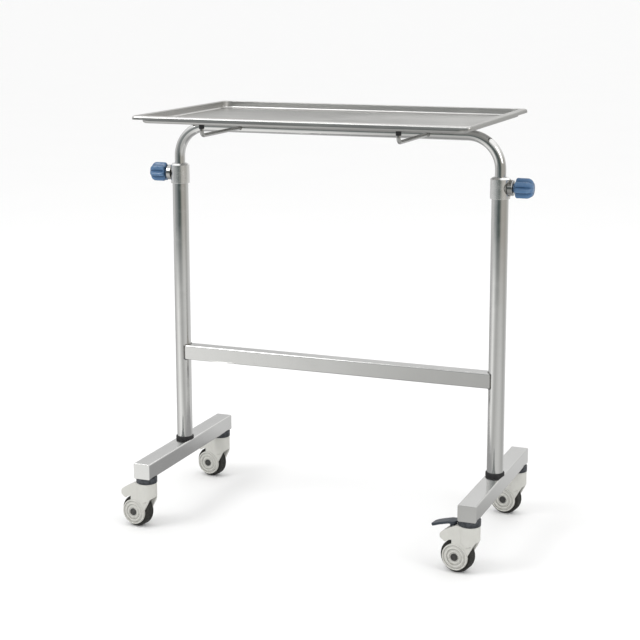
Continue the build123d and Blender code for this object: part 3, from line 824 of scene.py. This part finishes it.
# Compass stops, from behind the table, past its left, its front and its right, to behind it.
STUDIO_STOPS = (
    (0.00, (0.58, 0.58, 0.58)),
    (0.10, (0.50, 0.50, 0.50)),
    (0.19, (0.74, 0.74, 0.74)),
    (0.27, (0.34, 0.35, 0.35)),
    (0.36, (0.24, 0.26, 0.26)),
    (0.42, (0.06, 0.08, 0.08)),
    (0.50, (0.07, 0.09, 0.08)),
    (0.55, (0.46, 0.44, 0.40)),
    (0.66, (0.42, 0.40, 0.37)),
    (0.74, (0.38, 0.37, 0.34)),
    (0.85, (0.72, 0.72, 0.71)),
    (1.00, (0.60, 0.60, 0.60)),
)

# The same stops round the floor close to the table, which it glows with as a painted reflection to
# polished metal.
NEAR_STOPS = (
    (0.00, (0.46, 0.46, 0.46)),
    (0.12, (0.48, 0.48, 0.48)),
    (0.22, (0.62, 0.62, 0.62)),
    (0.30, (1.12, 1.12, 1.10)),
    (0.38, (0.60, 0.60, 0.59)),
    (0.44, (0.46, 0.46, 0.45)),
    (0.51, (0.52, 0.52, 0.51)),
    (0.62, (0.74, 0.74, 0.73)),
    (0.73, (0.34, 0.34, 0.33)),
    (0.82, (0.74, 0.74, 0.74)),
    (1.00, (0.62, 0.62, 0.62)),
)


def make_world():
    """Plain white, in which polished metal sees the studio's darker and lighter sides."""
    world = bpy.data.worlds.new("studio")
    bpy.context.scene.world = world
    world.use_nodes = True
    tree = world.node_tree
    tree.nodes.clear()
    direction = add_node(tree, "ShaderNodeTexCoord").outputs["Generated"]
    height = add_node(tree, "ShaderNodeSeparateXYZ", {0: direction}).outputs["Z"]
    upward = add_node(tree, "ShaderNodeMapRange", {
        "Value": height, "From Min": OVERHEAD_RISE[0], "From Max": OVERHEAD_RISE[1],
    })
    sides = surroundings(tree, direction, STUDIO_STOPS)
    sky = mix_colours(tree, upward.outputs["Result"], sides, OVERHEAD)
    pattern = add_node(tree, "ShaderNodeBackground", {"Color": sky})
    white = add_node(tree, "ShaderNodeBackground", {
        "Color": (1.0, 1.0, 1.0, 1.0), "Strength": WHITE_STRENGTH,
    })
    add_node(tree, "ShaderNodeOutputWorld", {
        "Surface": by_ray(tree, white.outputs[0], pattern.outputs[0]),
    })


def make_floor():
    """Pale floor that glows, to the rays that polished surfaces reflect, with a painted reflection: a
    painted shadow under the table, painted bands near it and the studio's bands beyond it.
    """
    rings = []
    for radius in FLOOR_RINGS:
        rings.append([(radius * math.cos(a), radius * math.sin(a), 0.0) for a in round_turn(FLOOR_STEPS)])
    look = Look("pale_floor", Specular_IOR_Level=0.2)
    clouded = tuple(CLOUD_SHARE * c for c in FLOOR_COLOUR)
    look.feed("Base Color", look.mix(look.noise(1.5, 4.0), FLOOR_COLOUR, clouded))
    look.feed("Roughness", look.remap(look.noise(40.0, 3.0), 0.3, 0.7, 0.55, 0.7))
    # Painted reflection and painted shadow: the floor glows with these only to the rays that polished
    # surfaces reflect.
    distance = look.node("ShaderNodeVectorMath", {0: look.coords}, operation="LENGTH").outputs["Value"]
    clear = look.remap(distance, *PAINTED_SHADOW_RANGE, 0.0, 1.0)
    away = look.remap(distance, *NEAR_RANGE, 0.0, 1.0)
    near = look.mix(clear, PAINTED_TABLE_SHADOW, surroundings(look.tree, look.coords, NEAR_STOPS))
    painted_reflection = look.mix(away, near, surroundings(look.tree, look.coords, STUDIO_STOPS))
    painted_glow = look.node("ShaderNodeEmission", {"Color": painted_reflection})
    surface = by_ray(look.tree, look.shader.outputs[0], painted_glow.outputs[0])
    look.tree.links.new(surface, look.tree.nodes["Material Output"].inputs["Surface"])
    floor = link_piece("floor", grid_mesh("floor", rings), look.material)


AIM = Vector((0.0, 0.0, 0.5))  # the lights point at the middle of the table
# Each light: place, size and power in watts.
LIGHTS = {
    "key_light": ((-2.2, -2.4, 3.4), (1.6, 1.6), 46.0),
    "fill_light": ((3.2, -1.2, 2.2), (1.4, 2.0), 18.0),
    "back_light": ((0.4, 3.2, 3.0), (2.6, 1.2), 7.0),
}


def soft_light(name, place, size, power):
    data = bpy.data.lights.new(name, "AREA")
    data.shape = "RECTANGLE"
    data.size, data.size_y = size
    data.energy = power
    light = bpy.data.objects.new(name, data)
    bpy.context.collection.objects.link(light)
    light.location = place
    light.rotation_euler = (AIM - Vector(place)).to_track_quat("-Z", "Y").to_euler()


def make_studio():
    make_world()
    make_floor()
    for name, (place, size, power) in LIGHTS.items():
        soft_light(name, place, size, power)
    settings = bpy.context.scene.view_settings
    settings.view_transform = "Standard"
    settings.look = "None"


# ---------------------------------------------------------------- the scene

make_camera()
materials = make_materials()
dress_cad_nodes(materials)
for side_name, side_sign in SIDES.items():
    make_knob(side_name, side_sign, materials)
for caster_name in CASTERS:
    make_tread(caster_name, materials)
    make_housing(caster_name, materials)
    make_hub_caps(caster_name, materials)
for caster_name in BRAKED:
    make_pedal(caster_name, materials)
make_crossbar_welds(materials)
make_rod_welds(materials)
make_boss_welds(materials)
make_studio()
